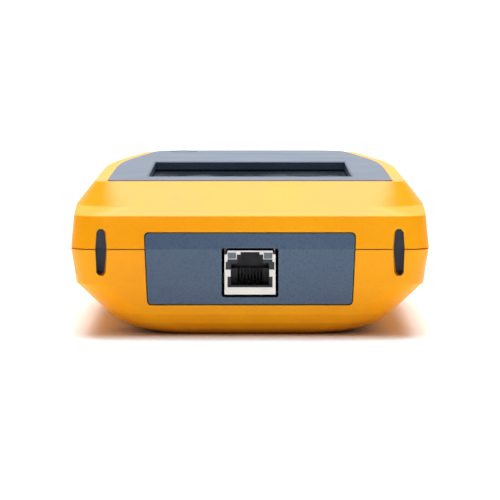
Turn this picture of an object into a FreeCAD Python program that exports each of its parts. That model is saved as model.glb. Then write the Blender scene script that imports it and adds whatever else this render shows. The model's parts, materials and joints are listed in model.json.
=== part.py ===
"""Handheld network cable tester with a touch display and one shielded RJ45 socket.

Frame, in mm: X to the right, Y from the socket end (negative) to the grip end (positive), Z up.
The origin is on the table, under the middle of the body, which lies on its back.
Every piece is written to parts/NAME.step.
"""
import FreeCAD, Part
import math
import os

from FreeCAD import Vector

# ---- overall body ----
LENGTH = 214.0
WIDTH = 112.0
HEIGHT = 48.6                      # table to the crown of the display bezel
WALL = 2.8
DECK = 4.6                         # thickness of the top face that carries the bezel
PARTING_Z = 27.7                   # where the two housings meet
PARTING_GAP = 0.3                  # shadow line between them
UPPER_DRAFT = math.radians(5.0)
LOWER_DRAFT = math.radians(8.0)
KEEL_Z = 16.5                      # lower crease, above it the drafted lower band
BELLY_RADIUS = 24.0                # round between the belly and the lower chamfer
BELLY_ANGLE = math.radians(45.0)   # slope of the lower chamfer
FRONT_BELLY_REACH = 14.5           # the front's lower edge is an elliptic round of this depth
FRONT_CHAMFER = math.radians(32.6)
SIDE_CHAMFER = math.radians(51.0)
SIDE_CHAMFER_HEIGHT = 7.2
RIM_RISE = 0.2                     # from the top of the side chamfer to the rim
FRONT_CREASE_DROP = 2.6            # front crease below the side crease
CORNER_RADIUS = 8.0                # plan corners at the parting line
CHAMFER_CORNER_RADIUS = 19.0
SHOULDER_CORNER_RADIUS = 7.0
BELLY_CORNER_RADIUS = 14.0
GRIP_START_Y = 18.0                # from here the plan narrows towards the grip end
GRIP_TAPER = math.radians(8.2)
GRIP_BEND_RADIUS = 450.0
GRIP_CORNER_EXTRA = 6.0            # the grip end's corners are rounder
LIP_HEIGHT = 2.0
LIP_CLEARANCE = 0.3
SKIRT = 1.2                        # outer part of the upper wall, outside the lip

# ---- display ----
BEZEL_SIDE_INSET = 11.2            # body outline to bezel outline
BEZEL_FRONT_INSET = 17.0
BEZEL_REAR_INSET = 10.0
BEZEL_CROWN = 0.5                  # rise from the outer edge to the window
BEZEL_PROUD = 0.2                  # outer edge above the yellow rim
BEZEL_GAP = 0.25
BEZEL_CORNER = 1.5
BEZEL_GRIP_CORNER = 10.0
WINDOW_WIDTH = 65.2
WINDOW_LENGTH = 91.5
WINDOW_FRONT_INSET = 30.0
WINDOW_RECESS = 3.0
GASKET_THICK = 0.4
GASKET_SETBACK = 1.0
GLASS_THICK = 1.1
GLASS_BORDER = 5.0
LCD_THICK = 3.5
LCD_BORDER = 4.0
BRACKET_THICK = 0.8
FLANGE_HEIGHT = 1.6

# ---- socket and end panel ----
JACK_WIDTH = 15.9
JACK_HEIGHT = 13.75
JACK_DEPTH = 21.0
JACK_Z = 13.45                     # underside of the socket, on the board
JACK_SETBACK = 2.0                 # socket face behind the front of the body
SHEET = 0.35
PLUG_WIDTH = 11.85
PLUG_FLOOR = 2.8                   # above the underside of the socket
PLUG_HEIGHT = 6.95
CONTACT_COUNT = 8
CONTACT_PITCH = 1.02
CONTACT_WIDTH = 0.42
CONTACT_THICK = 0.3
CONTACT_LENGTH = 8.4
CONTACT_ANGLE = math.radians(20.0)
CONTACT_FLEX = math.radians(10.0)  # how far a plug pushes the contacts down
CONTACT_ROOT_RADIUS = 0.3
PANEL_TOP_WIDTH = 65.2
PANEL_FOOT_WIDTH = 63.4
PANEL_Z = (10.3, 32.65)
PANEL_THICK = 2.2
PANEL_CORNER = 1.2
PANEL_GAP = 0.35
PANEL_FLANGE = 2.5
JACK_WINDOW_GAP = 0.9
JACK_NOTCH = (0.9, 8.0, 1.2)       # cut-outs in the upper corners of the socket's shell

# ---- lanyard slots ----
SLOT_INSET = 9.8                   # slot centre from the corner of the body
SLOT_WIDTH_ENDS = 2.9
SLOT_WIDTH_MIDDLE = 3.6
SLOT_Z = (19.4, 34.0)
LINER_WALL = 1.2

# ---- boards, battery and fasteners ----
BOARD_THICK = 1.6
BOARD_WIDTH = 88.0
BOARD_FRONT_INSET = 14.0
BOARD_LENGTH = 92.0
BATTERY = (40.0, 66.0, 19.0)
BATTERY_CLEARANCE = 1.0
COMPARTMENT_WALL = 1.6
COMPARTMENT_FRONT_Y = 2.0
DOOR_THICK = 2.5
DOOR_GAP = 0.3
DOOR_LAND = 3.0
SCREW_RADIUS = 1.5
SCREW_HEAD_RADIUS = 2.9
SCREW_CLEARANCE = 0.05
SCREW_HOLE_CLEARANCE = 0.2
CASE_SCREW_SEAT_Z = 8.0
CASE_BOSS_RADIUS = 4.6
SMALL_SCREW_RADIUS = 1.1
SMALL_HEAD_RADIUS = 2.2
SMALL_HEAD_HEIGHT = 1.5

# ---- power key ----
KEY_RADIUS = 5.0
KEY_X = -24.4
KEY_REAR_INSET = 19.5
KEY_PROUD = 0.3
KEY_GAP = 0.3
KEY_FLANGE = 1.2
KEY_TRAVEL = 0.6
KEY_FLEX_WIDTH = 5.0
RUNNING_FIT = 0.08

# ---- charging socket ----
USB_WIDTH = 8.94
USB_HEIGHT = 3.16
USB_DEPTH = 7.3

# ---- places that follow from the sizes above ----
FRONT_Y = -LENGTH / 2
REAR_Y = LENGTH / 2
RIM_Z = HEIGHT - BEZEL_CROWN - BEZEL_PROUD           # top of the yellow body
SIDE_CREASE_Z = RIM_Z - SIDE_CHAMFER_HEIGHT - RIM_RISE
FRONT_CREASE_Z = SIDE_CREASE_Z - FRONT_CREASE_DROP
DECK_Z = RIM_Z - DECK                                # underside of the top face
BEZEL_TOP_Z = RIM_Z + BEZEL_PROUD
BEZEL_Z = HEIGHT - WINDOW_RECESS                     # floor of the bezel's pocket
WINDOW_FRONT_Y = FRONT_Y + WINDOW_FRONT_INSET
WINDOW_REAR_Y = WINDOW_FRONT_Y + WINDOW_LENGTH
GLASS_TOP_Z = BEZEL_Z - GASKET_THICK
GLASS_Z = GLASS_TOP_Z - GLASS_THICK
LCD_Z = GLASS_Z - LCD_THICK
BRACKET_Z = LCD_Z - BRACKET_THICK
BOARD_Z = JACK_Z - BOARD_THICK
BOARD_FRONT_Y = FRONT_Y + BOARD_FRONT_INSET
BOARD_REAR_Y = BOARD_FRONT_Y + BOARD_LENGTH
JACK_Y = FRONT_Y + JACK_SETBACK
BATTERY_FRONT_Y = COMPARTMENT_FRONT_Y + COMPARTMENT_WALL + BATTERY_CLEARANCE
BATTERY_REAR_Y = BATTERY_FRONT_Y + BATTERY[1]
COMPARTMENT_REAR_Y = BATTERY_REAR_Y + BATTERY_CLEARANCE + COMPARTMENT_WALL
COMPARTMENT_HALF = BATTERY[0] / 2 + BATTERY_CLEARANCE
BATTERY_Z = WALL + BATTERY_CLEARANCE / 2
COMPARTMENT_TOP_Z = BATTERY_Z + BATTERY[2] + BATTERY_CLEARANCE
KEY_Y = REAR_Y - KEY_REAR_INSET
CHARGE_Z = 18.0
CHARGE_TOP_Z = CHARGE_Z + 1.2
USB_Z = CHARGE_TOP_Z + USB_HEIGHT / 2


# ---- plain helpers ----
def box(x, y, z):
    """Block between the two values of x, of y and of z."""
    return Part.makeBox(x[1] - x[0], y[1] - y[0], z[1] - z[0], Vector(x[0], y[0], z[0]))


def rod(x, y, z0, z1, radius):
    """Upright cylinder."""
    return Part.makeCylinder(radius, z1 - z0, Vector(x, y, z0))


def tube(x, y, z0, z1, outer, inner):
    """Upright tube."""
    return rod(x, y, z0, z1, outer).cut(rod(x, y, z0 - 1, z1 + 1, inner))


def mirrored(shape):
    """The same shape on the other side of the body's middle plane."""
    return shape.mirror(Vector(0, 0, 0), Vector(1, 0, 0))


def both_sides(shape):
    """A shape and its mirror image, as one."""
    return shape.fuse(mirrored(shape))


def corner_arc(point, before, after, radius):
    """Start, middle and end of the arc that rounds a corner of an outline."""
    towards_before = (before - point).normalize()
    towards_after = (after - point).normalize()
    half_angle = towards_before.getAngle(towards_after) / 2
    reach = radius / math.tan(half_angle)
    inward = (towards_before + towards_after).normalize()
    centre = point + inward * (radius / math.sin(half_angle))
    return point + towards_before * reach, centre - inward * radius, point + towards_after * reach


def rounded_wire(points, radii):
    """Closed outline through the points, each corner rounded by its radius (0 keeps it sharp)."""
    count = len(points)
    corners = []
    for i, (point, radius) in enumerate(zip(points, radii)):
        if radius > 0:
            corners.append(corner_arc(point, points[i - 1], points[(i + 1) % count], radius))
        else:
            corners.append((point,))
    edges = []
    for i, corner in enumerate(corners):
        if len(corner) == 3:
            edges.append(Part.Arc(*corner).toShape())
        edges.append(Part.makeLine(corner[-1], corners[(i + 1) % count][0]))
    return Part.Wire(edges)


def prism(points, radii, along):
    """Solid made by moving a rounded outline along a vector."""
    return Part.Face(rounded_wire(points, radii)).extrude(along)


def rounded_plate(x, y, z, radius):
    """Flat plate with rounded corners."""
    points = [Vector(x[0], y[0], z[0]), Vector(x[1], y[0], z[0]), Vector(x[1], y[1], z[0]), Vector(x[0], y[1], z[0])]
    return prism(points, [radius] * 4, Vector(0, 0, z[1] - z[0]))


def front_prism(outline, radii, y):
    """Outline given as (x, z) pairs, pushed along Y from y[0] to y[1]."""
    points = [Vector(px, y[0], pz) for px, pz in outline]
    return prism(points, radii, Vector(0, y[1] - y[0], 0))


def side_prism(outline, radii, x):
    """Outline given as (y, z) pairs, pushed along X from x[0] to x[1]."""
    points = [Vector(x[0], py, pz) for py, pz in outline]
    return prism(points, radii, Vector(x[1] - x[0], 0, 0))


def strip(route, bend, thick, x):
    """Flat flexible strip: a (y, z) route with round bends, given a thickness and a width along X."""
    places = [Vector(0, py, pz) for py, pz in route]
    left, right = [], []
    for i, place in enumerate(places):
        before = places[max(i - 1, 0)]
        after = places[min(i + 1, len(places) - 1)]
        ahead = (after - place).normalize() if i < len(places) - 1 else (place - before).normalize()
        behind = (place - before).normalize() if i else ahead
        sideways = Vector(0, -(ahead.z + behind.z), ahead.y + behind.y).normalize()
        stretch = thick / 2 / math.cos(ahead.getAngle(behind) / 2)
        turn = behind.y * ahead.z - behind.z * ahead.y
        left.append((place + sideways * stretch, bend - thick / 2 * math.copysign(1, turn) if turn else 0))
        right.append((place - sideways * stretch, bend + thick / 2 * math.copysign(1, turn) if turn else 0))
    outline = left + right[::-1]
    return side_prism([(p.y, p.z) for p, r in outline], [r for p, r in outline], x)


def turned(x, y, profile):
    """Solid turned about the upright line at x, y, from its (radius, z) profile, axis to axis."""
    points = [Vector(x + radius, y, z) for radius, z in profile]
    face = Part.Face(Part.makePolygon(points + points[:1]))
    return face.revolve(Vector(x, y, 0), Vector(0, 0, 1), 360)


def screw(x, y, seat_z, tip_z, radius, head_radius, head_height, outside=False):
    """Machine screw with its head on seat_z. One that shows has a chamfered head with a hexagon socket."""
    up = 1 if tip_z > seat_z else -1
    top = seat_z - up * head_height
    shank = [(head_radius, seat_z), (radius, seat_z), (radius, tip_z), (0, tip_z)]
    if not outside:
        return turned(x, y, [(0, top), (head_radius, top)] + shank)
    chamfer = head_height * 0.35
    body = turned(x, y, [(0, top), (head_radius - chamfer, top), (head_radius, top + up * chamfer)] + shank)
    socket_depth = head_height * 0.6
    return body.cut(hexagon(x, y, head_radius * 0.45, min(top, top + up * socket_depth), socket_depth))


def hexagon(x, y, radius, z, height):
    """Six-sided recess for a driver."""
    points = []
    for i in range(7):
        angle = math.radians(60 * i)
        points.append(Vector(x + radius * math.cos(angle), y + radius * math.sin(angle), z))
    return Part.Face(Part.makePolygon(points)).extrude(Vector(0, 0, height))


# ---- the body's outer form, also used moved inwards for every inner surface ----
def grip_half_width(half_width, y):
    """Half width of an outline at y, with the taper towards the grip end."""
    return half_width - max(y - GRIP_START_Y, 0) * math.tan(GRIP_TAPER)


def plan_wire(z, side, front, rear, corner, grip_corner, bend=GRIP_BEND_RADIUS):
    """Outline of the body at height z, inset from its widest outline."""
    half = WIDTH / 2 - side
    near = FRONT_Y + front
    far = REAR_Y - rear
    far_half = grip_half_width(half, far)
    points = [Vector(-half, near, z), Vector(half, near, z), Vector(half, GRIP_START_Y, z),
              Vector(far_half, far, z), Vector(-far_half, far, z), Vector(-half, GRIP_START_Y, z)]
    return rounded_wire(points, [corner, corner, bend, grip_corner, grip_corner, bend])


def front_belly_run(inset, z):
    """How far the front's lower edge lies behind the front at height z."""
    keel_inset = (PARTING_Z - KEEL_Z) * math.tan(LOWER_DRAFT)
    drop = (KEEL_Z - z) / (KEEL_Z - inset)
    return keel_inset + FRONT_BELLY_REACH - (FRONT_BELLY_REACH - inset) * math.sqrt(max(1 - drop * drop, 0))


def belly_sections(inset, steps):
    """Round edge of the belly: (z, inset) of each section, up to the lower chamfer."""
    keel_inset = (PARTING_Z - KEEL_Z) * math.tan(LOWER_DRAFT)
    chamfer_foot_z = BELLY_RADIUS * (1 - math.cos(BELLY_ANGLE))
    chamfer_run = (KEEL_Z - chamfer_foot_z) / math.tan(BELLY_ANGLE)
    flat_inset = keel_inset + chamfer_run + BELLY_RADIUS * math.sin(BELLY_ANGLE)
    radius = BELLY_RADIUS - inset
    sections = []
    for i in range(steps + 1):
        angle = BELLY_ANGLE * i / steps
        sections.append((inset + radius * (1 - math.cos(angle)), flat_inset - radius * math.sin(angle)))
    return sections


def body_form(inset, steps=2):
    """The body's outer form, or with an inset the form that lies that far inside it."""
    wires = []
    for z, run in belly_sections(inset, steps):
        front_run = front_belly_run(inset, z)
        wires.append(plan_wire(z, run, front_run, run, BELLY_CORNER_RADIUS, BELLY_CORNER_RADIUS + GRIP_CORNER_EXTRA))
    keel = (PARTING_Z - KEEL_Z) * math.tan(LOWER_DRAFT)
    corner = CORNER_RADIUS - inset * 0.7
    grip_corner = corner + GRIP_CORNER_EXTRA
    keel_run = keel + inset * 0.94
    wires.append(plan_wire(KEEL_Z + inset * 0.47, keel_run, keel_run, keel_run, corner + 2, grip_corner + 2))
    wires.append(plan_wire(PARTING_Z, inset, inset, inset, corner, grip_corner))
    front_draft = (FRONT_CREASE_Z - PARTING_Z) * math.tan(UPPER_DRAFT)
    side_draft = (SIDE_CREASE_Z - PARTING_Z) * math.tan(UPPER_DRAFT)
    slope = 1 / math.tan(FRONT_CHAMFER)
    wires.append(plan_wire(FRONT_CREASE_Z - inset * 0.5, front_draft + inset, front_draft + inset * 0.97,
                           front_draft + inset, corner + 1, grip_corner))
    front_run = front_draft + FRONT_CREASE_DROP * slope
    wires.append(plan_wire(SIDE_CREASE_Z - inset * 0.45, side_draft + inset * 0.96, front_run + inset * 1.25,
                           side_draft + inset * 0.96, CHAMFER_CORNER_RADIUS - inset, grip_corner))
    shoulder_z = SIDE_CREASE_Z + SIDE_CHAMFER_HEIGHT
    side_run = side_draft + SIDE_CHAMFER_HEIGHT / math.tan(SIDE_CHAMFER)
    front_run += SIDE_CHAMFER_HEIGHT * slope
    wires.append(plan_wire(shoulder_z - inset * 0.9, side_run + inset * 0.51, front_run + inset * 0.44,
                           side_run + inset * 0.51, SHOULDER_CORNER_RADIUS - inset, grip_corner - 2))
    rim_z = DECK_Z if inset >= WALL else RIM_Z - inset
    if inset < WALL:
        front_run += (RIM_Z - shoulder_z) * slope
        wires.append(plan_wire(rim_z, BEZEL_SIDE_INSET - 0.4, front_run, BEZEL_REAR_INSET - 0.4, 2.0,
                               BEZEL_GRIP_CORNER + 0.4))
    form = Part.makeLoft(wires, True, True)
    if inset >= WALL:
        form = form.common(slab(-1, rim_z))
    return form


def slab(z0, z1):
    """Everything between two heights, wider than the body."""
    return box((-WIDTH, WIDTH), (-LENGTH, LENGTH), (z0, z1))


OUTER = body_form(0.0, 4)
CAVITY = body_form(WALL)


# ---- end panel with the socket's window ----
def panel_outline(grow):
    """Outline of the end panel, seen from the front, larger by grow."""
    top = PANEL_TOP_WIDTH / 2 + grow
    foot = PANEL_FOOT_WIDTH / 2 + grow
    low, high = PANEL_Z[0] - grow, PANEL_Z[1] + grow
    return [(-foot, low), (foot, low), (top, high), (-top, high)]


def panel_prism(grow, depth):
    """The panel's outline pushed from in front of the body to a depth behind its face."""
    return front_prism(panel_outline(grow), [PANEL_CORNER + grow * 0.5] * 4, (FRONT_Y - 5, FRONT_Y + depth))


def jack_window():
    """Hole in the end panel that the socket looks out of."""
    half = JACK_WIDTH / 2 + JACK_WINDOW_GAP
    low, high = JACK_Z - JACK_WINDOW_GAP, JACK_Z + JACK_HEIGHT + JACK_WINDOW_GAP
    return front_prism([(-half, low), (half, low), (half, high), (-half, high)], [0.8] * 4,
                       (FRONT_Y - 5, FRONT_Y + 20))


def socket_boss():
    """U-shaped boss under the socket that carries the panel's middle plane on below the crease."""
    foot_half = JACK_WIDTH / 2 + JACK_WINDOW_GAP + 0.6
    neck_half, top_half, foot_z = foot_half + 0.6, foot_half + 2.3, PANEL_Z[0] + 0.7
    right = [(foot_half, foot_z), (neck_half, KEEL_Z - 1.4), (top_half, KEEL_Z), (top_half, KEEL_Z + 4)]
    outline = right + [(-px, pz) for px, pz in reversed(right)]
    radii = [2.4, 1.2, 0, 0]
    block = front_prism(outline, radii + radii[::-1], (FRONT_Y - 1, FRONT_Y + 9))
    lean = math.tan(LOWER_DRAFT)
    foot_y = FRONT_Y + (PARTING_Z - foot_z) * lean
    behind = side_prism([(FRONT_Y, PARTING_Z), (foot_y + lean, foot_z - 1), (FRONT_Y + 12, foot_z - 1),
                         (FRONT_Y + 12, PARTING_Z)], [0] * 4, (-20, 20))
    return block.common(behind)


def end_panel():
    """Moulded end panel. It follows the body's facets and is held between the housings by a flange."""
    back = body_form(WALL + 2.0)
    plate = OUTER.cut(back).common(panel_prism(0, 20))
    plate = plate.cut(body_form(PANEL_THICK).common(panel_prism(-PANEL_THICK, 20)))
    ring = panel_prism(PANEL_FLANGE, 20).cut(panel_prism(-PANEL_THICK, 21))
    flange = body_form(WALL + 0.1).cut(back).common(ring)
    return plate.fuse([flange, socket_boss()]).cut(jack_window()).removeSplitter()


# ---- lanyard slots in the two front corners ----
def slot_sweep(grow, sign):
    """The slot's eight-sided section turned about the corner of the body, from its front face to its side."""
    low, high = SLOT_Z[0] - grow, SLOT_Z[1] + grow
    middle = SLOT_WIDTH_MIDDLE / 2 + grow
    ends = SLOT_WIDTH_ENDS / 2 + grow
    tip, bevel = ends * 0.45, ends * 0.7
    right = [(tip, low), (ends, low + bevel), (middle, PARTING_Z), (ends, high - bevel), (tip, high)]
    outline = right + [(-px, pz) for px, pz in reversed(right)]
    centre = WIDTH / 2 - SLOT_INSET
    points = [Vector(centre + px, FRONT_Y, pz) for px, pz in outline]
    face = Part.Face(Part.makePolygon(points + points[:1]))
    axis = Vector(WIDTH / 2, FRONT_Y, 0)
    face.rotate(axis, Vector(0, 0, 1), 30)
    sweep = face.revolve(axis, Vector(0, 0, 1), -150)
    return sweep if sign > 0 else mirrored(sweep)


def strap_liner(sign):
    """Curved duct behind a corner that leads a lanyard from the front slot to the side slot."""
    duct = slot_sweep(LINER_WALL, sign)
    return duct.cut(slot_sweep(0.0, sign)).common(body_form(WALL + 0.15))


def strap_cradle(z0, z1):
    """Block in a housing's corner that holds the end of the liner."""
    axis_x, axis_y = WIDTH / 2, FRONT_Y
    ring = tube(axis_x, axis_y, z0, z1, SLOT_INSET + 2.4, SLOT_INSET - 2.4)
    corner = box((axis_x - 20, axis_x), (axis_y, axis_y + 20), (z0, z1))
    return both_sides(ring.common(corner))


# ---- screws, inserts and bosses ----
def case_screw_places():
    """The four case screws: two beside the socket end, two in the grip end."""
    rear_y = REAR_Y - 32.0
    rear_x = abs(KEY_X) + KEY_FLEX_WIDTH / 2 + CASE_BOSS_RADIUS + 1.0
    front = (WIDTH / 2 - 16.0, FRONT_Y + 24.0)
    return [front, (-front[0], front[1]), (rear_x, rear_y), (-rear_x, rear_y)]


def board_screw_places():
    """The four screws of the main board."""
    x = BOARD_WIDTH / 2 - 5.0
    near, far = BOARD_FRONT_Y + 22.0, BOARD_REAR_Y - 5.0
    return [(x, near), (-x, near), (x, far), (-x, far)]


def bracket_screw_places():
    """The four screws that hold the display bracket under the deck."""
    x = WINDOW_WIDTH / 2 + 12.0
    near, far = WINDOW_FRONT_Y + 6.0, WINDOW_REAR_Y - 6.0
    return [(x, near), (-x, near), (x, far), (-x, far)]


def charge_screw_places():
    """The two screws of the charging board."""
    return [(10.0, REAR_Y - 19.0), (-10.0, REAR_Y - 19.0)]


def key_screw_places():
    """The two screws of the power key's board."""
    return [(KEY_X - 8.5, KEY_Y), (KEY_X + 8.5, KEY_Y)]


def door_screw_places():
    """The two screws of the battery door, in the lands at its ends."""
    return [(0.0, door_y()[0] + 5.0), (0.0, door_y()[1] - 5.0)]


def door_y():
    """The battery door's near and far edge."""
    return COMPARTMENT_FRONT_Y - 8.0, COMPARTMENT_REAR_Y + 4.0


# ---- housings ----
def bottom_shell():
    """Lower housing's wall with the lip that locates the upper housing."""
    shell = OUTER.cut(CAVITY).common(slab(-1, PARTING_Z - PARTING_GAP / 2))
    lip = body_form(SKIRT + LIP_CLEARANCE).cut(CAVITY)
    return shell.fuse(lip.common(slab(PARTING_Z - 1.5, PARTING_Z + LIP_HEIGHT)))


def battery_compartment():
    """Walls and roof round the battery, moulded with the lower housing."""
    wall = COMPARTMENT_WALL
    x = COMPARTMENT_HALF
    outer = box((-x - wall, x + wall), (COMPARTMENT_FRONT_Y, COMPARTMENT_REAR_Y), (1.0, COMPARTMENT_TOP_Z + wall))
    inner = box((-x, x), (COMPARTMENT_FRONT_Y + wall, COMPARTMENT_REAR_Y - wall), (0.0, COMPARTMENT_TOP_Z))
    return outer.cut(inner), inner


def door_recess(grow, z1):
    """Shape of the battery door, or of its recess when grown."""
    x = COMPARTMENT_HALF + DOOR_LAND + grow
    near, far = door_y()
    return rounded_plate((-x, x), (near - grow, far + grow), (-1.0, z1), 4.0 + grow)


def bottom_housing():
    """Lower housing: shell, battery compartment, bosses, cradles and its openings."""
    walls, hollow = battery_compartment()
    land_z = DOOR_THICK + 0.3
    near, far = door_y()
    x = COMPARTMENT_HALF + DOOR_LAND + 1.5
    door_frame = rounded_plate((-x, x), (near - 1.5, far + 1.5), (1.0, land_z + 1.6), 5.5)
    parts = [walls, door_frame]
    for sx, sy in case_screw_places():
        parts.append(rod(sx, sy, 1.0, PARTING_Z - 0.1, SCREW_HEAD_RADIUS + 2.0))
    for sx, sy in board_screw_places():
        parts.append(rod(sx, sy, 1.0, BOARD_Z, 3.4))
    for sx, sy in charge_screw_places():
        parts.append(rod(sx, sy, 1.0, CHARGE_Z, 2.6))
    for sx, sy in door_screw_places():
        parts.append(rod(sx, sy, 1.0, land_z + 6.0, 3.0))
    parts.append(strap_cradle(8.0, SLOT_Z[0] - LINER_WALL))
    inside = body_form(1.0)
    parts = [p.common(inside) for p in parts]
    body = bottom_shell().fuse(parts)
    cuts = [hollow, door_recess(DOOR_GAP, land_z), panel_prism(PANEL_GAP, 16), usb_opening()]
    for sx, sy in case_screw_places():
        cuts.append(rod(sx, sy, -1.0, CASE_SCREW_SEAT_Z, SCREW_HEAD_RADIUS + 0.3))
        cuts.append(rod(sx, sy, 0.0, PARTING_Z + 1, SCREW_RADIUS + SCREW_HOLE_CLEARANCE))
    small = SMALL_SCREW_RADIUS + SCREW_CLEARANCE
    for sx, sy in board_screw_places():
        cuts.append(rod(sx, sy, BOARD_Z - 6.0, BOARD_Z + 1, small))
    for sx, sy in charge_screw_places():
        cuts.append(rod(sx, sy, CHARGE_Z - 6.0, CHARGE_Z + 1, small))
    for sx, sy in door_screw_places():
        cuts.append(rod(sx, sy, 0.0, land_z + 5.2, small))
    for sign in (1, -1):
        cuts.append(slot_sweep(0.0, sign))
    cuts.append(terminal_slots())
    cuts.append(label_plate(0.2, 0.0))
    return body.cut(cuts).removeSplitter()


def deck_opening():
    """Opening in the deck for the display stack."""
    border = GLASS_BORDER + 2.6
    half = WINDOW_WIDTH / 2 + border
    return rounded_plate((-half, half), (WINDOW_FRONT_Y - border, WINDOW_REAR_Y + border),
                         (DECK_Z - 5, RIM_Z + 5), 3.0)


def bezel_wire(z, grow):
    """Outline of the bezel at height z."""
    return plan_wire(z, BEZEL_SIDE_INSET - grow, BEZEL_FRONT_INSET - grow, BEZEL_REAR_INSET - grow,
                     BEZEL_CORNER + grow, BEZEL_GRIP_CORNER + grow)


def bezel_pocket():
    """Recess in the deck that the bezel sits in."""
    return Part.Face(bezel_wire(BEZEL_Z, BEZEL_GAP)).extrude(Vector(0, 0, 10))


def top_housing():
    """Upper housing: shell with deck, bezel pocket, display opening, bosses and cradles."""
    upper = slab(PARTING_Z + PARTING_GAP / 2, HEIGHT + 1)
    shell = OUTER.cut(CAVITY).common(upper)
    lip_room = body_form(SKIRT).common(slab(PARTING_Z - 1, PARTING_Z + LIP_HEIGHT))
    shell = shell.cut(lip_room)
    parts = []
    for sx, sy in case_screw_places():
        parts.append(rod(sx, sy, PARTING_Z + 0.1, BEZEL_Z, CASE_BOSS_RADIUS))
    for sx, sy in bracket_screw_places():
        parts.append(rod(sx, sy, BRACKET_Z + BRACKET_THICK, BEZEL_Z, 3.2))
    for sx, sy in key_screw_places():
        parts.append(rod(sx, sy, key_board_z() + 1.2, BEZEL_Z, 2.6))
    parts.append(strap_cradle(SLOT_Z[1] + LINER_WALL, DECK_Z))
    inside = body_form(1.0)
    parts = [p.common(inside) for p in parts]
    body = shell.fuse(parts)
    cuts = [bezel_pocket(), deck_opening(), panel_prism(PANEL_GAP, 16)]
    cuts.append(rod(KEY_X, KEY_Y, DECK_Z - 1, BEZEL_Z + 1, KEY_RADIUS + 1.0 + RUNNING_FIT))
    for sx, sy in case_screw_places():
        cuts.append(rod(sx, sy, PARTING_Z, PARTING_Z + 8.5, insert_radius()))
    small = SMALL_SCREW_RADIUS + SCREW_CLEARANCE
    for sx, sy in bracket_screw_places():
        cuts.append(rod(sx, sy, BRACKET_Z, BEZEL_Z - 0.8, small))
    for sx, sy in key_screw_places():
        cuts.append(rod(sx, sy, key_board_z(), BEZEL_Z - 0.8, small))
    for sign in (1, -1):
        cuts.append(slot_sweep(0.0, sign))
    return body.cut(cuts).removeSplitter()


def insert_radius():
    """Outer radius of the brass inserts."""
    return SCREW_RADIUS + 1.0


def case_inserts():
    """Brass inserts in the upper housing's bosses."""
    low = PARTING_Z + 1.0
    return [tube(x, y, low, low + 6.0, insert_radius(), SCREW_RADIUS + SCREW_CLEARANCE)
            for x, y in case_screw_places()]


def case_screws():
    """Screws that join the two housings from below."""
    return [screw(x, y, CASE_SCREW_SEAT_Z, PARTING_Z + 7.5, SCREW_RADIUS, SCREW_HEAD_RADIUS, 2.2, True)
            for x, y in case_screw_places()]


# ---- display stack ----
def window_wire(z, grow):
    """Window outline with two extra points on its long sides, to match the bezel's outline."""
    half = WINDOW_WIDTH / 2 + grow
    near, far = WINDOW_FRONT_Y - grow, WINDOW_REAR_Y + grow
    middle = (near + far) / 2
    points = [Vector(-half, near, z), Vector(half, near, z), Vector(half, middle, z),
              Vector(half, far, z), Vector(-half, far, z), Vector(-half, middle, z)]
    return Part.makePolygon(points + points[:1])


def bezel_facet_wire(z):
    """Bezel outline with plain corners, for the facets."""
    half = WIDTH / 2 - BEZEL_SIDE_INSET + 1
    near = FRONT_Y + BEZEL_FRONT_INSET - 1
    far = REAR_Y - BEZEL_REAR_INSET + 1
    far_half = grip_half_width(half, far)
    points = [Vector(-half, near, z), Vector(half, near, z), Vector(half, GRIP_START_Y, z),
              Vector(far_half, far, z), Vector(-far_half, far, z), Vector(-half, GRIP_START_Y, z)]
    return Part.makePolygon(points + points[:1])


def display_bezel():
    """Faceted bezel: a low hipped plate that falls from the window to its outer edge."""
    blank = Part.Face(bezel_wire(BEZEL_Z, 0.0)).extrude(Vector(0, 0, HEIGHT - BEZEL_Z))
    base = Part.Face(bezel_facet_wire(BEZEL_Z - 1)).extrude(Vector(0, 0, BEZEL_TOP_Z - BEZEL_Z + 1))
    hip = Part.makeLoft([bezel_facet_wire(BEZEL_TOP_Z), window_wire(HEIGHT, 0.6)], True, True)
    plate = blank.common(base.fuse(hip))
    half = WINDOW_WIDTH / 2
    opening = box((-half, half), (WINDOW_FRONT_Y, WINDOW_REAR_Y), (BEZEL_Z - 1, HEIGHT + 1))
    edge = Part.makeLoft([window_wire(HEIGHT - 0.5, 0.0), window_wire(HEIGHT + 0.3, 0.8)], True, True)
    key_hole = rod(KEY_X, KEY_Y, BEZEL_Z - 1, HEIGHT + 1, KEY_RADIUS + KEY_GAP)
    return plate.cut([opening, edge, key_hole]).removeSplitter()


def stack_plate(border, z, radius):
    """Rectangular plate of the display stack, larger than the window by a border."""
    half = WINDOW_WIDTH / 2 + border
    return rounded_plate((-half, half), (WINDOW_FRONT_Y - border, WINDOW_REAR_Y + border), z, radius)


def glass_gasket():
    """Black foam frame between the bezel and the glass."""
    z = (GLASS_TOP_Z, GLASS_TOP_Z + GASKET_THICK)
    inner = stack_plate(GASKET_SETBACK, (z[0] - 1, z[1] + 1), 1.0)
    return stack_plate(GLASS_BORDER, z, 2.0).cut(inner)


def touch_glass():
    """Cover glass with its touch sensor."""
    return stack_plate(GLASS_BORDER, (GLASS_Z, GLASS_TOP_Z), 2.0)


def lcd_module():
    """Display module, with a thinner driver ledge at its far end."""
    body = stack_plate(LCD_BORDER, (LCD_Z, GLASS_Z), 1.0)
    ledge = WINDOW_REAR_Y + LCD_BORDER - 3.0
    return body.cut(box((-50, 50), (ledge, ledge + 10), (LCD_Z + 2.2, GLASS_Z + 1)))


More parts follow.
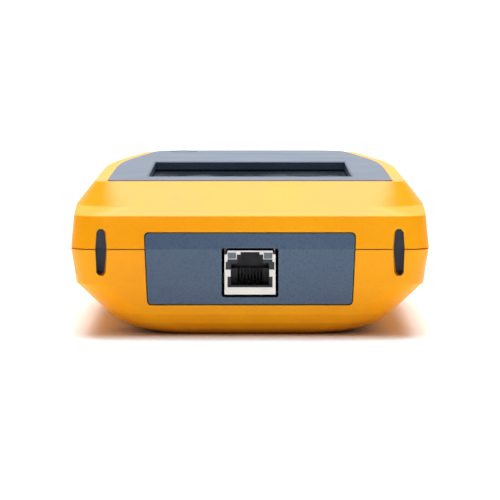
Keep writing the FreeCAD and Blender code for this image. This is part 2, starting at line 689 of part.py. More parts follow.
def display_bracket():
    """Sheet-metal tray under the display, with raised sides and four ears."""
    z = (BRACKET_Z, BRACKET_Z + BRACKET_THICK)
    floor = stack_plate(LCD_BORDER + 0.9, z, 1.0)
    half = WINDOW_WIDTH / 2 + LCD_BORDER + 0.1
    near, far = WINDOW_FRONT_Y + 4, WINDOW_REAR_Y - 4
    side = box((half, half + BRACKET_THICK), (near, far), (BRACKET_Z, z[1] + FLANGE_HEIGHT))
    parts = [both_sides(side)]
    holes = []
    for x, y in bracket_screw_places():
        inner = math.copysign(half - 2, x)
        low, high = sorted((x, inner))
        parts.append(box((low, high), (y - 3.2, y + 3.2), z))
        parts.append(rod(x, y, z[0], z[1], 3.2))
        holes.append(rod(x, y, z[0] - 1, z[1] + 1, SMALL_SCREW_RADIUS + SCREW_HOLE_CLEARANCE))
    return floor.fuse(parts).cut(holes).removeSplitter()


def bracket_screws():
    """Screws that hold the display bracket."""
    return [screw(x, y, BRACKET_Z, BEZEL_Z - 1.2, SMALL_SCREW_RADIUS, SMALL_HEAD_RADIUS, SMALL_HEAD_HEIGHT)
            for x, y in bracket_screw_places()]


# ---- RJ45 socket ----
def front_opening():
    """Opening in the socket's face: plug, latch channel, side notches and bottom corners."""
    z = JACK_Z
    side = JACK_WIDTH / 2 - SHEET
    right = [(7.02, z + 2.25), (7.02, z + 5.6), (6.0, z + 5.6), (6.0, z + 7.8), (side, z + 7.8), (side, z + 10.2),
             (7.0, z + 10.2), (7.0, z + 11.0), (4.1, z + 11.0), (4.1, z + 12.5), (2.95, z + 12.5), (2.95, z + 13.3)]
    left = [(-px, pz) for px, pz in reversed(right)]
    outline = right + left
    return front_prism(outline, [0] * len(outline), (JACK_Y - 1, JACK_Y + SHEET + 0.01))


def lens_box(sign, grow, y):
    """Section of one of the two indicators, larger by grow, from y[0] to y[1]."""
    low, high = sorted((sign * (4.4 - grow), sign * (6.85 + grow)))
    return box((low, high), y, (JACK_Z + 11.25 - grow, JACK_Z + 13.05 + grow))


def rj45_shield():
    """Folded tin-plated shell of the socket, open where the plug, latch and indicators are."""
    half = JACK_WIDTH / 2
    top = JACK_Z + JACK_HEIGHT
    shell = box((-half, half), (JACK_Y, JACK_Y + JACK_DEPTH), (JACK_Z, top))
    room = box((-half + SHEET, half - SHEET), (JACK_Y + SHEET, JACK_Y + JACK_DEPTH - SHEET),
               (JACK_Z + SHEET, top - SHEET))
    cuts = [room, front_opening()]
    for sign in (1, -1):
        cuts.append(lens_box(sign, 0.05, (JACK_Y - 1, JACK_Y + SHEET + 0.1)))
        x = sorted((sign * (half - JACK_NOTCH[0]), sign * (half + 1)))
        cuts.append(box(x, (JACK_Y - 1, JACK_Y + JACK_NOTCH[1]), (top - JACK_NOTCH[2], top + 1)))
    tab = box((half - SHEET, half), (JACK_Y + 15.0, JACK_Y + 16.6), (JACK_Z - 2.6, JACK_Z + 1))
    return shell.cut(cuts).fuse(both_sides(tab)).removeSplitter()


def contact_x(i):
    """Centre of contact i."""
    return (i - (CONTACT_COUNT - 1) / 2) * CONTACT_PITCH


def contact_root():
    """Y and Z of the line that the contacts flex about."""
    return JACK_Y + 3.6, JACK_Z + 2.2


def rj45_insert():
    """Moulded insert: plug cavity, latch channel, comb for the contacts and seats for their roots."""
    half = JACK_WIDTH / 2 - SHEET - 0.05
    front, rear = JACK_Y + SHEET, JACK_Y + JACK_DEPTH - SHEET - 0.05
    body = box((-half, half), (front, rear), (JACK_Z + SHEET, JACK_Z + JACK_HEIGHT - SHEET - 0.05))
    floor, roof = JACK_Z + PLUG_FLOOR, JACK_Z + PLUG_FLOOR + PLUG_HEIGHT
    plug = PLUG_WIDTH / 2
    outline = [(-plug, floor), (plug, floor), (plug, roof), (3.9, roof), (3.9, roof + 1.9), (2.9, roof + 1.9),
               (2.9, roof + 3.2), (-2.9, roof + 3.2), (-2.9, roof + 1.9), (-3.9, roof + 1.9), (-3.9, roof), (-plug, roof)]
    cavity = front_prism(outline, [0] * 12, (front - 1, front + 14.0))
    flare = front_prism([(-6.6, floor), (6.6, floor), (6.6, floor + 2.4), (-6.6, floor + 2.4)], [0] * 4,
                        (front - 1, front + 1.0))
    body = body.cut([cavity, flare])
    comb = box((-plug + 0.01, plug - 0.01), (front + 9.5, front + 14.01), (floor - 0.01, floor + 4.7))
    body = body.fuse(comb)
    root_y, root_z = contact_root()
    slot = CONTACT_WIDTH / 2 + 0.12
    groove_end = root_y + (floor - root_z + CONTACT_THICK) / math.tan(CONTACT_ANGLE - CONTACT_FLEX)
    cuts = [lens_box(sign, 0.05, (front - 0.1, front + 9.3)) for sign in (1, -1)]
    for i in range(CONTACT_COUNT):
        x = contact_x(i)
        seat = Part.makeCylinder(CONTACT_ROOT_RADIUS + 0.06, 2 * slot, Vector(x - slot, root_y, root_z), Vector(1, 0, 0))
        swing = box((x - slot, x + slot), (root_y - CONTACT_ROOT_RADIUS - 0.06, groove_end), (root_z, floor + 1))
        channel = box((x - slot, x + slot), (front + 9.0, front + 13.4), (floor, floor + 5.5))
        cuts.extend([seat, swing, channel])
    return body.cut(cuts).removeSplitter()


def rj45_contacts():
    """Eight spring contacts, each a wire that rises to the rear from a round root."""
    root_y, root_z = contact_root()
    contacts = []
    for i in range(CONTACT_COUNT):
        x = contact_x(i)
        start = x - CONTACT_WIDTH / 2
        half_thick = CONTACT_THICK / 2
        wire = box((start, start + CONTACT_WIDTH), (root_y, root_y + CONTACT_LENGTH), (root_z - half_thick, root_z + half_thick))
        tip = box((start, start + CONTACT_WIDTH), (root_y + CONTACT_LENGTH - 0.3, root_y + CONTACT_LENGTH),
                  (root_z - 0.6, root_z))
        wire = wire.fuse(tip)
        wire.rotate(Vector(x, root_y, root_z), Vector(1, 0, 0), math.degrees(CONTACT_ANGLE))
        root = Part.makeCylinder(CONTACT_ROOT_RADIUS, CONTACT_WIDTH, Vector(start, root_y, root_z), Vector(1, 0, 0))
        contacts.append(wire.fuse(root).removeSplitter())
    return contacts


def rj45_lenses():
    """Two light guides for the link indicators."""
    return [lens_box(sign, 0.0, (JACK_Y + 0.12, JACK_Y + SHEET + 9.2)) for sign in (1, -1)]


# ---- boards and what is on them ----
def main_board():
    """Main circuit board, with screw holes and the slots for the socket's tabs."""
    half = BOARD_WIDTH / 2
    board = rounded_plate((-half, half), (BOARD_FRONT_Y, BOARD_REAR_Y), (BOARD_Z, JACK_Z), 6.0)
    cuts = [rod(x, y, BOARD_Z - 1, JACK_Z + 1, SMALL_SCREW_RADIUS + SCREW_HOLE_CLEARANCE)
            for x, y in board_screw_places()]
    tab_x = JACK_WIDTH / 2
    tab_slot = box((tab_x - SHEET - 0.3, tab_x + 0.3), (JACK_Y + 14.7, JACK_Y + 16.9), (BOARD_Z - 1, JACK_Z + 1))
    cuts.append(both_sides(tab_slot))
    for x, y in case_screw_places()[:2]:
        cuts.append(rod(x, y, BOARD_Z - 1, JACK_Z + 1, SCREW_HEAD_RADIUS + 2.6))
    return board.cut(cuts)


def shield_can():
    """Drawn tin can over the measuring circuit."""
    front = JACK_Y + JACK_DEPTH + 4.0
    outer = rounded_plate((-33, -3), (front + 14, front + 40), (JACK_Z, JACK_Z + 3.4), 1.5)
    return outer.cut(rounded_plate((-32.7, -3.3), (front + 14.3, front + 39.7), (JACK_Z - 1, JACK_Z + 3.1), 1.2))


def magnetics():
    """Ethernet transformer block behind the socket."""
    front = JACK_Y + JACK_DEPTH + 2.5
    return rounded_plate((-8.2, 8.2), (front, front + 12.5), (JACK_Z, JACK_Z + 5.6), 0.8)


def board_chips():
    """Processor, memory and power chips: flat packages of different sizes."""
    front = JACK_Y + JACK_DEPTH + 18.0
    chips = []
    for x, y, width, length in ((13, 8, 15, 15), (28, 2, 8, 10), (28, 16, 8, 10), (8, 26, 6, 6), (18, 27, 7, 7)):
        chips.append(rounded_plate((x - width / 2, x + width / 2), (front + y - length / 2, front + y + length / 2),
                                   (JACK_Z, JACK_Z + 1.2), 0.4))
    return chips


def beeper():
    """Round sounder with its sound hole."""
    x, y = BOARD_WIDTH / 2 - 22.0, BOARD_FRONT_Y + 10.0
    return rod(x, y, JACK_Z, JACK_Z + 5.5, 6.0).cut(rod(x, y, JACK_Z + 3, JACK_Z + 6, 1.1))


def board_screws():
    """Screws of the main board."""
    return [screw(x, y, JACK_Z, BOARD_Z - 5.0, SMALL_SCREW_RADIUS, SMALL_HEAD_RADIUS, SMALL_HEAD_HEIGHT)
            for x, y in board_screw_places()]


def flex_places():
    """X range of the three flexible strips: display, power key and charging."""
    return (-9.0, 9.0), (KEY_X - KEY_FLEX_WIDTH / 2, KEY_X + KEY_FLEX_WIDTH / 2), (14.0, 20.0)


def flex_connectors():
    """Board connectors that the flexible strips plug into."""
    y = BOARD_REAR_Y - 5.0
    return [box((low - 1.5, high + 1.5), (y - 2.0, y + 2.0), (JACK_Z, JACK_Z + 2.4)) for low, high in flex_places()]


def display_flex():
    """Strip from the display's far end down to the main board."""
    far = WINDOW_REAR_Y + LCD_BORDER
    z = LCD_Z + 1.0
    y = BOARD_REAR_Y - 5.0
    route = [(far, z), (far + 7.0, z), (far + 7.0, COMPARTMENT_TOP_Z + 6.5), (y, COMPARTMENT_TOP_Z + 6.5),
             (y, JACK_Z + 2.4)]
    return strip(route, 2.0, 0.3, flex_places()[0])


def key_flex():
    """Strip from the power key's board to the main board."""
    y = BOARD_REAR_Y - 5.0
    z = key_board_z() - 0.15
    route = [(KEY_Y, z), (KEY_Y - 10.0, z), (KEY_Y - 10.0, COMPARTMENT_TOP_Z + 8.5), (y, COMPARTMENT_TOP_Z + 8.5),
             (y, JACK_Z + 2.4)]
    return strip(route, 2.0, 0.3, flex_places()[1])


def charge_flex():
    """Strip from the charging board over the battery compartment to the main board."""
    y = BOARD_REAR_Y - 5.0
    z = COMPARTMENT_TOP_Z + COMPARTMENT_WALL + 1.5
    start = charge_board_y()[0] + 2.5
    route = [(start, CHARGE_TOP_Z), (start, z), (y, z), (y, JACK_Z + 2.4)]
    return strip(route, 2.0, 0.3, flex_places()[2])


# ---- battery ----
def battery_pack():
    """Two round cells side by side in a shrink sleeve."""
    width, length, height = BATTERY
    radius = height / 2
    z = BATTERY_Z
    outline = [(-width / 2, z), (width / 2, z), (width / 2, z + height), (-width / 2, z + height)]
    sleeve = front_prism(outline, [radius * 0.98] * 4, (BATTERY_FRONT_Y, BATTERY_REAR_Y))
    groove_x, groove_z = 0.0, z + height + 8.2
    groove = Part.makeCylinder(10.0, length + 2, Vector(groove_x, BATTERY_FRONT_Y - 1, groove_z), Vector(0, 1, 0))
    return sleeve.cut(groove)


def terminal_places():
    """X of the battery's three terminals."""
    return (-7.0, 0.0, 7.0)


def battery_terminals():
    """Three spring blades from the board through the compartment's wall to the battery's face."""
    blades = []
    z = JACK_Z + 1.6
    for x in terminal_places():
        route = [(BOARD_REAR_Y - 0.8, JACK_Z), (BOARD_REAR_Y - 0.8, z), (BATTERY_FRONT_Y - 0.2, z),
                 (BATTERY_FRONT_Y - 0.2, z - 3.0)]
        blades.append(strip(route, 0.5, 0.3, (x - 1.2, x + 1.2)))
    return blades


def terminal_slots():
    """Slots in the compartment's front wall for the terminals."""
    z = JACK_Z + 1.6
    wall = (COMPARTMENT_FRONT_Y - 1.0, COMPARTMENT_FRONT_Y + COMPARTMENT_WALL + 0.1)
    slots = [box((x - 1.6, x + 1.6), wall, (z - 0.8, z + 0.8)) for x in terminal_places()]
    return slots[0].fuse(slots[1:])


def battery_door():
    """Flat door over the battery, with two screw recesses and a thumb recess."""
    door = door_recess(0.0, DOOR_THICK + 0.3).common(slab(0.2, 5.0))
    cuts = []
    for x, y in door_screw_places():
        cuts.append(rod(x, y, 0.0, 1.9, SMALL_HEAD_RADIUS + 0.4))
        cuts.append(rod(x, y, 0.0, 4.0, SMALL_SCREW_RADIUS + SCREW_HOLE_CLEARANCE))
    near = door_y()[0]
    for i in range(4):
        y = near + 12.0 + 2.4 * i
        cuts.append(rounded_plate((-9, 9), (y, y + 1.1), (0.0, 0.7), 0.5))
    return door.cut(cuts)


def door_screws():
    """Captive screws of the battery door."""
    return [screw(x, y, 1.9, DOOR_THICK + 4.8, SMALL_SCREW_RADIUS, SMALL_HEAD_RADIUS, SMALL_HEAD_HEIGHT, True)
            for x, y in door_screw_places()]


def label_plate(grow, z0):
    """Blank rating label on the belly, or its recess when grown."""
    near = FRONT_Y + 42.0
    top = 0.25 if grow else 0.22
    return rounded_plate((-23 - grow, 23 + grow), (near - grow, near + 42.0 + grow), (z0 - (1 if grow else 0), top),
                         1.5)


# ---- power key ----
def key_board_z():
    """Underside of the power key's board."""
    return DECK_Z - 6.4


def power_button():
    """Key cap with a dished top, a guide flange under the bezel and a nib for the switch."""
    crown = BEZEL_TOP_Z + KEY_PROUD
    flange_top = BEZEL_Z
    foot = flange_top - KEY_FLANGE
    flange, bore, nib = KEY_RADIUS + 1.0, KEY_RADIUS - 1.2, 1.5
    edge = 0.45
    return turned(KEY_X, KEY_Y, [
        (0, switch_top_z()), (nib, switch_top_z()), (nib, crown - 1.6), (bore, crown - 1.6), (bore, foot),
        (flange, foot), (flange, flange_top), (KEY_RADIUS, flange_top), (KEY_RADIUS, crown - edge),
        (KEY_RADIUS - edge * 0.3, crown - edge * 0.3), (KEY_RADIUS - edge, crown),
        (KEY_RADIUS - 1.6, crown), (KEY_RADIUS - 2.6, crown - 0.2), (0, crown - 0.2)])


def switch_top_z():
    """Top of the switch's plunger."""
    return key_board_z() + 1.2 + 4.3


def power_switch():
    """Tactile switch body, hollow for its plunger."""
    base = key_board_z() + 1.2
    body = box((KEY_X - 3, KEY_X + 3), (KEY_Y - 3, KEY_Y + 3), (base, base + 3.4))
    return body.cut(rod(KEY_X, KEY_Y, base + 1.0, base + 4, 1.7 + RUNNING_FIT))


def switch_plunger():
    """Round plunger of the switch."""
    base = key_board_z() + 1.2
    return rod(KEY_X, KEY_Y, base + 1.0 + KEY_TRAVEL + 0.2, switch_top_z(), 1.7)


def key_board():
    """Small board that carries the switch, screwed under the deck."""
    z = (key_board_z(), key_board_z() + 1.2)
    board = rounded_plate((KEY_X - 11.5, KEY_X + 11.5), (KEY_Y - 5, KEY_Y + 5), z, 2.0)
    holes = [rod(x, y, z[0] - 1, z[1] + 1, SMALL_SCREW_RADIUS + SCREW_HOLE_CLEARANCE) for x, y in key_screw_places()]
    return board.cut(holes)


def key_board_screws():
    """Screws of the power key's board."""
    return [screw(x, y, key_board_z(), BEZEL_Z - 1.2, SMALL_SCREW_RADIUS, SMALL_HEAD_RADIUS, SMALL_HEAD_HEIGHT)
            for x, y in key_screw_places()]


# ---- charging socket ----
def charge_board_y():
    """Near and far edge of the charging board."""
    wall_inset = (PARTING_Z - CHARGE_Z) * math.tan(LOWER_DRAFT) + WALL
    return REAR_Y - 23.0, REAR_Y - wall_inset - 0.5


def charge_board():
    """Small board at the grip end with the charging socket."""
    near, far = charge_board_y()
    board = rounded_plate((-22, 22), (near, far), (CHARGE_Z, CHARGE_TOP_Z), 1.5)
    holes = [rod(x, y, CHARGE_Z - 1, CHARGE_TOP_Z + 1, SMALL_SCREW_RADIUS + SCREW_HOLE_CLEARANCE)
             for x, y in charge_screw_places()]
    return board.cut(holes)


def charge_board_screws():
    """Screws of the charging board."""
    return [screw(x, y, CHARGE_TOP_Z, CHARGE_Z - 5.0, SMALL_SCREW_RADIUS, SMALL_HEAD_RADIUS, SMALL_HEAD_HEIGHT)
            for x, y in charge_screw_places()]


def stadium(width, height, y):
    """Flat oval section pushed along Y, at the charging socket's height."""
    x, z = width / 2, height / 2
    outline = [(-x, USB_Z - z), (x, USB_Z - z), (x, USB_Z + z), (-x, USB_Z + z)]
    return front_prism(outline, [z * 0.98] * 4, y)


def usb_mouth_y():
    """Y of the charging socket's mouth, just inside the outer face."""
    return REAR_Y - (PARTING_Z - USB_Z) * math.tan(LOWER_DRAFT) - 0.4


def usb_opening():
    """Hole in the lower housing for the charging plug."""
    return stadium(USB_WIDTH + 0.6, USB_HEIGHT + 0.6, (usb_mouth_y() - 8, REAR_Y + 1))


def usb_shell():
    """Drawn steel shell of the charging socket."""
    mouth = usb_mouth_y()
    outer = stadium(USB_WIDTH, USB_HEIGHT, (mouth - USB_DEPTH, mouth))
    return outer.cut(stadium(USB_WIDTH - 0.6, USB_HEIGHT - 0.6, (mouth - USB_DEPTH - 1, mouth + 1)))


def usb_tongue():
    """Moulded core of the charging socket with its contact tongue."""
    mouth = usb_mouth_y()
    core = stadium(USB_WIDTH - 0.7, USB_HEIGHT - 0.7, (mouth - USB_DEPTH, mouth - USB_DEPTH + 2.2))
    tongue = box((-3.35, 3.35), (mouth - USB_DEPTH + 2, mouth - 0.8), (USB_Z - 0.35, USB_Z + 0.35))
    return core.fuse(tongue)


# ---- write every piece ----
def save(name, shape):
    """Write one piece, or a group of like pieces, to its own file."""
    if isinstance(shape, list):
        shape = Part.makeCompound(shape)
    print(name, len(shape.Solids), round(shape.Volume, 1), shape.isValid())
    shape.exportStep(os.path.join("parts", name + ".step"))


def main():
    os.makedirs("parts", exist_ok=True)
    pieces = {
        "top_housing": top_housing(),
        "bottom_housing": bottom_housing(),
        "display_bezel": display_bezel(),
        "glass_gasket": glass_gasket(),
        "touch_glass": touch_glass(),
        "lcd_module": lcd_module(),
        "display_bracket": display_bracket(),
        "bracket_screws": bracket_screws(),
        "end_panel": end_panel(),
        "strap_liner_left": strap_liner(-1),
        "strap_liner_right": strap_liner(1),
        "rj45_shield": rj45_shield(),
        "rj45_insert": rj45_insert(),
        "rj45_contacts": rj45_contacts(),
        "rj45_lenses": rj45_lenses(),
        "main_board": main_board(),
        "board_screws": board_screws(),
        "shield_can": shield_can(),
        "magnetics": magnetics(),
        "board_chips": board_chips(),
        "beeper": beeper(),
        "flex_connectors": flex_connectors(),
        "display_flex": display_flex(),
        "key_flex": key_flex(),
        "charge_flex": charge_flex(),
        "battery_pack": battery_pack(),
        "battery_terminals": battery_terminals(),
        "battery_door": battery_door(),
        "door_screws": door_screws(),
        "rating_label": label_plate(0.0, 0.02),
        "case_screws": case_screws(),
        "case_inserts": case_inserts(),
        "power_button": power_button(),
        "switch_plunger": switch_plunger(),
        "power_switch": power_switch(),
        "key_board": key_board(),
        "key_board_screws": key_board_screws(),
        "charge_board": charge_board(),
        "charge_board_screws": charge_board_screws(),
        "usb_shell": usb_shell(),
        "usb_tongue": usb_tongue(),
    }
    for name, shape in pieces.items():
        save(name, shape)


main()
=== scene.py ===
"""Looks of the handheld network cable tester: materials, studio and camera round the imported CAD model.

Units are metres, in the CAD frame: X right, Y from the socket end to the grip end, Z up.
"""
import json
import math

import bmesh
import bpy
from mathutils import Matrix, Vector


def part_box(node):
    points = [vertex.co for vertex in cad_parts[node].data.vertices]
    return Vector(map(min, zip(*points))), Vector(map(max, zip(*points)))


MM = 0.001

# ---- camera and studio; the camera's place is relative to the object's front face ----
IMAGE_PX = 500
SENSOR = 36.0
FOCAL_PX = 3395.0
CAMERA_DISTANCE = 1.050
CAMERA_HEIGHT = 0.112
CAMERA_PITCH = math.radians(4.6)
FLOOR_RADIUS = 60.0
FLOOR_SEGMENTS = 96
# soft lights of the sky: centre direction, full within and gone beyond (degrees), brightness
SKY_LIGHTS = (
    ((0.0, 0.0, 1.0), 175.0, 180.0, 0.15),      # the whole room
    ((0.0, 1.0, 0.05), 25.0, 55.0, 0.92),       # far wall, mirrored by the top face
    ((0.0, 0.36, 0.93), 13.0, 28.0, 8.8),       # main light, mirrored by the front chamfer
    ((0.0, -0.14, 0.99), 12.0, 28.0, 3.6),      # overhead, lights the floor in front
    ((0.0, -0.80, 0.60), 8.0, 30.0, 0.4),       # faint light from the viewer's side
)
SKY_COLOUR = (1.0, 0.995, 0.985)

# ---- colours, linear ----
YELLOW = (0.99, 0.40, 0.002)
YELLOW_DEEP = (0.95, 0.355, 0.0015)
BLUE_GREY = (0.062, 0.106, 0.184)
BLUE_GREY_DEEP = (0.050, 0.088, 0.158)
# darker than the trim blue-grey: painted shade inside the strap slots
LINER_BLUE_PAINTED_SHADE = (0.030, 0.075, 0.150)
GLASS_DARK = (0.012, 0.017, 0.024)
GLASS_LIGHT = (0.020, 0.027, 0.036)
FOAM_BLACK = (0.012, 0.012, 0.013)
DISPLAY_BLACK = (0.010, 0.012, 0.015)
INSERT_BLACK = (0.016, 0.019, 0.030)
TIN = (0.72, 0.71, 0.67)
ZINC = (0.62, 0.63, 0.62)
GOLD = (0.92, 0.66, 0.28)
BRASS = (0.80, 0.60, 0.28)
MILKY_GREY = (0.13, 0.17, 0.215)
AMBER = (0.42, 0.17, 0.03)
SLEEVE_BLUE = (0.03, 0.07, 0.17)
FOIL = (0.55, 0.56, 0.57)
MASK_GREEN = (0.010, 0.085, 0.040)
TRACK_GREEN = (0.018, 0.150, 0.070)
FLOOR_TONES = ((0.90, 0.90, 0.905), (0.93, 0.93, 0.935))

# ---- scale of the surface detail, in features per metre ----
CLOUD = 35.0                # slow drift of a large moulding's colour
COARSE_GRAIN = 1500.0       # spark-eroded texture, coarse and fine
FINE_GRAIN = 5200.0
SMALL_CLOUD = 300.0         # drift on small parts
SMALL_GRAIN = 2500.0
SMEAR = 60.0                # finger marks on the glass
GLASS_CLOUD = 25.0
SCRATCHES = 900.0           # rolling and plating marks on metal
METAL_CLOUD = 180.0
TRACKS = 420.0              # copper tracks under solder mask
PAPER_CLOUD = 4.0

# ---- radius of the edges that the materials round ----
MOULDING_EDGE = 0.35 * MM
# band of lighter edge: wear on the yellow, painted highlight on the blue-grey parts
MOULDING_WEAR_AND_HIGHLIGHT = 0.5 * MM
SMALL_EDGE = 0.1 * MM
METAL_EDGE = 0.08 * MM
EDGE_SAMPLES = 6


# ---- node helpers ----
class Graph:
    """A material's node tree, with short calls for the nodes used here."""

    def __init__(self, name):
        self.material = bpy.data.materials.new(name)
        self.material.use_nodes = True
        self.nodes = self.material.node_tree.nodes
        self.links = self.material.node_tree.links
        self.nodes.clear()
        output = self.nodes.new("ShaderNodeOutputMaterial")
        self.shader = self.nodes.new("ShaderNodeBsdfPrincipled")
        self.links.new(self.shader.outputs[0], output.inputs[0])
        self.place = self.nodes.new("ShaderNodeNewGeometry").outputs["Position"]

    def noise(self, scale, detail=3.0, roughness=0.5, stretch=(1, 1, 1)):
        """Noise over the object's own place, at a scale in features per metre."""
        mapping = self.nodes.new("ShaderNodeMapping")
        mapping.inputs["Scale"].default_value = stretch
        self.links.new(self.place, mapping.inputs["Vector"])
        node = self.nodes.new("ShaderNodeTexNoise")
        node.inputs["Scale"].default_value = scale
        node.inputs["Detail"].default_value = detail
        node.inputs["Roughness"].default_value = roughness
        self.links.new(mapping.outputs[0], node.inputs["Vector"])
        return node.outputs["Fac"]

    def spread(self, value, low, high, to_low, to_high):
        """Map a value from one range to another, clamped."""
        node = self.nodes.new("ShaderNodeMapRange")
        sockets = ("From Min", "From Max", "To Min", "To Max")
        for socket, number in zip(sockets, (low, high, to_low, to_high)):
            node.inputs[socket].default_value = number
        self.links.new(value, node.inputs["Value"])
        return node.outputs["Result"]

    def blend(self, factor, first, second):
        """Mix two colours, each a tuple or a node's output."""
        node = self.nodes.new("ShaderNodeMix")
        node.data_type = "RGBA"
        self.links.new(factor, node.inputs["Factor"])
        for socket, colour in zip(("A", "B"), (first, second)):
            target = [i for i in node.inputs if i.name == socket and i.type == "RGBA"][0]
            if isinstance(colour, tuple):
                target.default_value = (*colour, 1.0)
            else:
                self.links.new(colour, target)
        return [o for o in node.outputs if o.type == "RGBA"][0]

    def relief(self, height, strength, distance, under=None):
        """Bump from a height, on top of another normal."""
        node = self.nodes.new("ShaderNodeBump")
        node.inputs["Strength"].default_value = strength
        node.inputs["Distance"].default_value = distance
        self.links.new(height, node.inputs["Height"])
        if under is not None:
            self.links.new(under, node.inputs["Normal"])
        return node.outputs["Normal"]

    def soft_edges(self, radius):
        """Normals that round every edge by a small radius, as a moulding tool does."""
        node = self.nodes.new("ShaderNodeBevel")
        node.samples = EDGE_SAMPLES
        node.inputs["Radius"].default_value = radius
        return node.outputs["Normal"]

    def edge_mask(self, radius, low, high):
        """1 on edges and 0 on flats, from how far the rounded normal leaves the true one."""
        rounded = self.soft_edges(radius)
        true = self.nodes.new("ShaderNodeNewGeometry").outputs["Normal"]
        dot = self.nodes.new("ShaderNodeVectorMath")
        dot.operation = "DOT_PRODUCT"
        self.links.new(rounded, dot.inputs[0])
        self.links.new(true, dot.inputs[1])
        return self.spread(dot.outputs["Value"], low, high, 1.0, 0.0)

    def finish(self, colour, roughness, normal=None, **fixed):
        """Link colour and normal, link or set the roughness, and set what is the same all over."""
        self.links.new(colour, self.shader.inputs["Base Color"])
        if isinstance(roughness, float):
            self.shader.inputs["Roughness"].default_value = roughness
        else:
            self.links.new(roughness, self.shader.inputs["Roughness"])
        if normal is not None:
            self.links.new(normal, self.shader.inputs["Normal"])
        for socket, value in fixed.items():
            self.shader.inputs[socket.replace("_", " ")].default_value = value
        return self.material


def shade(colour, factor):
    """A colour made lighter or darker."""
    return tuple(min(c * factor, 1.0) for c in colour)


# ---- materials ----
def moulded_plastic(name, colour, deep, roughness, grain, edge, wear_and_highlight_gain, gloss):
    """Spark-textured moulding: faint clouding, grain with darker pits, soft edges lighter, as wear on the
    yellow and as a painted highlight on the blue-grey parts.
    """
    g = Graph(name)
    cloud = g.noise(CLOUD, 4.0)
    tone = g.blend(g.spread(cloud, 0.35, 0.65, 0.0, 1.0), deep, colour)
    # edges made lighter: wear on the yellow moulding, a painted highlight on the blue-grey trim and liner
    edge_wear_and_highlight = g.edge_mask(MOULDING_WEAR_AND_HIGHLIGHT, 0.80, 0.995)
    tone = g.blend(g.spread(edge_wear_and_highlight, 0.0, 1.0, 0.0, edge), tone, shade(colour, wear_and_highlight_gain))
    fine = g.noise(FINE_GRAIN, 2.0, 0.6)
    coarse = g.noise(COARSE_GRAIN, 2.0, 0.5)
    tone = g.blend(g.spread(coarse, 0.35, 0.50, grain, 0.0), tone, shade(deep, 0.72))
    rough = g.spread(cloud, 0.3, 0.7, roughness - 0.05, roughness + 0.05)
    normal = g.relief(fine, grain, 0.05 * MM, g.soft_edges(MOULDING_EDGE))
    normal = g.relief(coarse, grain, 0.10 * MM, normal)
    return g.finish(tone, rough, normal, Specular_IOR_Level=gloss)


def cover_glass(name):
    """Dark cover glass with faint finger marks."""
    g = Graph(name)
    smear = g.noise(SMEAR, 5.0, 0.6, (1.0, 0.35, 1.0))
    rough = g.spread(smear, 0.45, 0.75, 0.08, 0.22)
    tone = g.blend(g.noise(GLASS_CLOUD), GLASS_DARK, GLASS_LIGHT)
    return g.finish(tone, rough, Specular_IOR_Level=0.15)


def metal(name, colour, roughness, brushed=(1, 1, 1)):
    """Plated or rolled metal with fine scratches, stretched along one axis where it is brushed."""
    g = Graph(name)
    streak = g.noise(SCRATCHES, 4.0, 0.7, brushed)
    tone = g.blend(g.noise(METAL_CLOUD), shade(colour, 0.86), colour)
    rough = g.spread(streak, 0.3, 0.7, roughness - 0.08, roughness + 0.1)
    normal = g.relief(streak, 0.15, 0.02 * MM, g.soft_edges(METAL_EDGE))
    return g.finish(tone, rough, normal, Metallic=1.0)


def plain_plastic(name, colour, roughness, grain=0.1):
    """Small moulded part with a fine grain."""
    g = Graph(name)
    cloud = g.noise(SMALL_CLOUD)
    tone = g.blend(cloud, shade(colour, 0.75), shade(colour, 1.25))
    rough = g.spread(cloud, 0.3, 0.7, roughness - 0.06, roughness + 0.08)
    normal = g.relief(g.noise(SMALL_GRAIN, 2.0), grain, 0.03 * MM, g.soft_edges(SMALL_EDGE))
    return g.finish(tone, rough, normal)


def circuit_board(name):
    """Green solder mask over faint copper tracks."""
    g = Graph(name)
    tracks = g.noise(TRACKS, 2.0, 0.4, (1.0, 0.2, 1.0))
    tone = g.blend(g.spread(tracks, 0.48, 0.52, 0.0, 1.0), MASK_GREEN, TRACK_GREEN)
    normal = g.relief(tracks, 0.2, 0.04 * MM)
    return g.finish(tone, 0.35, normal, Coat_Weight=0.3)


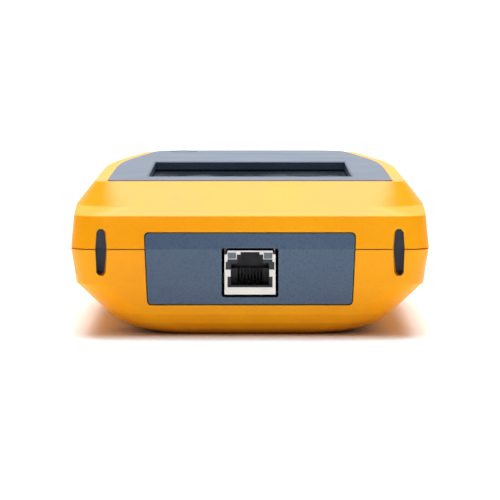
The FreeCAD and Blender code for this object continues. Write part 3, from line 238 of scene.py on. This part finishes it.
def make_materials():
    """One material for each slot of the record, and one more, darker, for the lanyard ducts: painted shade in
    the strap slots.
    """
    return {
        "body_yellow": moulded_plastic(
            "yellow_moulding", YELLOW, YELLOW_DEEP,
            roughness=0.38, grain=0.10, edge=0.25, wear_and_highlight_gain=1.25, gloss=0.17),
        # the strong edge lightening of the trim is a painted highlight along the bezel's edges
        "trim_blue_grey": moulded_plastic(
            "blue_grey_moulding", BLUE_GREY, BLUE_GREY_DEEP,
            roughness=0.40, grain=0.55, edge=0.6, wear_and_highlight_gain=2.2, gloss=0.45),
        "cover_glass": cover_glass("cover_glass_dark"),
        "black_foam": plain_plastic("foam_black", FOAM_BLACK, 0.85, 0.5),
        "display_black": plain_plastic("display_black_gloss", DISPLAY_BLACK, 0.2),
        "tin_plate": metal("tin_plated_steel", TIN, 0.32, (1.0, 1.0, 0.2)),
        "steel_zinc": metal("zinc_plated_steel", ZINC, 0.35),
        "black_plastic": plain_plastic("insert_black", INSERT_BLACK, 0.42),
        "gold_contact": metal("gold_plated", GOLD, 0.22),
        "light_guide": plain_plastic("light_guide_milky", MILKY_GREY, 0.22),
        "board_green": circuit_board("solder_mask_green"),
        "brass_insert": metal("brass_turned", BRASS, 0.35),
        "flex_amber": plain_plastic("polyimide_amber", AMBER, 0.3),
        "cell_sleeve": plain_plastic("cell_sleeve_blue", SLEEVE_BLUE, 0.28),
        "label_silver": plain_plastic("label_foil", FOIL, 0.45),
        # darker copy of the blue-grey trim: painted shade inside the strap slots
        "strap_liner": moulded_plastic(
            "strap_liner_painted_shade", LINER_BLUE_PAINTED_SHADE, LINER_BLUE_PAINTED_SHADE,
            roughness=0.45, grain=0.3, edge=0.4, wear_and_highlight_gain=1.6, gloss=0.4),
    }


def dress(frame):
    """Give every CAD node the material of its slot; the lanyard ducts get a darker copy of the blue-grey,
    painted shade in the strap slots.
    """
    materials = make_materials()
    slots = {row["node"]: row["material_slot"] for row in frame["record"]["subparts"]}
    for name, node in frame["nodes"].items():
        slot = "strap_liner" if name.startswith("strap_liner") else slots[name]
        node.data.materials.clear()
        node.data.materials.append(materials[slot])


# ---- studio ----
def floor():
    """Wide pale floor. Its horizon lies above the picture."""
    disc = bmesh.new()
    bmesh.ops.create_circle(disc, cap_ends=True, segments=FLOOR_SEGMENTS, radius=FLOOR_RADIUS)
    plane = bpy.data.objects.new("studio_floor", bpy.data.meshes.new("studio_floor"))
    disc.to_mesh(plane.data)
    disc.free()
    bpy.context.scene.collection.objects.link(plane)
    g = Graph("floor_paper")
    tone = g.blend(g.noise(PAPER_CLOUD), *FLOOR_TONES)
    plane.data.materials.append(g.finish(tone, 0.9, Specular_IOR_Level=0.1))


def world_glow(nodes, links, direction, centre, inner, outer, strength):
    """Brightness of a round soft light in the sky: full within inner degrees of its centre, gone at outer."""
    dot = nodes.new("ShaderNodeVectorMath")
    dot.operation = "DOT_PRODUCT"
    dot.inputs[1].default_value = Vector(centre).normalized()
    links.new(direction, dot.inputs[0])
    ramp = nodes.new("ShaderNodeMapRange")
    ramp.interpolation_type = "SMOOTHSTEP"
    ramp.inputs["From Min"].default_value = math.cos(math.radians(outer))
    ramp.inputs["From Max"].default_value = math.cos(math.radians(inner))
    ramp.inputs["To Max"].default_value = strength
    links.new(dot.outputs["Value"], ramp.inputs["Value"])
    return ramp.outputs["Result"]


def studio():
    """White room as the world's light: the soft lights of SKY_LIGHTS, added up."""
    world = bpy.data.worlds.new("studio_world")
    bpy.context.scene.world = world
    world.use_nodes = True
    nodes, links = world.node_tree.nodes, world.node_tree.links
    direction = nodes.new("ShaderNodeTexCoord").outputs["Generated"]
    glows = [world_glow(nodes, links, direction, *light) for light in SKY_LIGHTS]
    total = glows[0]
    for glow in glows[1:]:
        add = nodes.new("ShaderNodeMath")
        links.new(total, add.inputs[0])
        links.new(glow, add.inputs[1])
        total = add.outputs[0]
    background = nodes["Background"]
    background.inputs["Color"].default_value = (*SKY_COLOUR, 1.0)
    links.new(total, background.inputs["Strength"])


def camera(front_y):
    """Long lens, low in front of the socket end."""
    data = bpy.data.cameras.new("view_camera")
    data.sensor_width = SENSOR
    data.lens = FOCAL_PX / IMAGE_PX * SENSOR
    data.clip_end = 2 * FLOOR_RADIUS
    eye = bpy.data.objects.new("view_camera", data)
    eye.location = (0.0, front_y - CAMERA_DISTANCE, CAMERA_HEIGHT)
    eye.rotation_euler = (math.pi / 2 - CAMERA_PITCH, 0.0, 0.0)
    bpy.context.scene.collection.objects.link(eye)
    bpy.context.scene.camera = eye


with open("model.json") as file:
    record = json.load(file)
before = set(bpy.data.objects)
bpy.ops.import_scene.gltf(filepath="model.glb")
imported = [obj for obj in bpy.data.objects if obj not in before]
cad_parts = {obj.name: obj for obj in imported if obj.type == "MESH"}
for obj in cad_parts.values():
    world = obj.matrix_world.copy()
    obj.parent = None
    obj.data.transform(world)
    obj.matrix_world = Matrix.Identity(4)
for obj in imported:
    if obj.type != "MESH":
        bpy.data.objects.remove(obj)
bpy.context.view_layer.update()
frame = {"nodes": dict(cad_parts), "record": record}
bpy.context.scene.view_settings.view_transform = "Standard"
dress(frame)
floor()
studio()
camera(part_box("bottom_housing")[0].y)
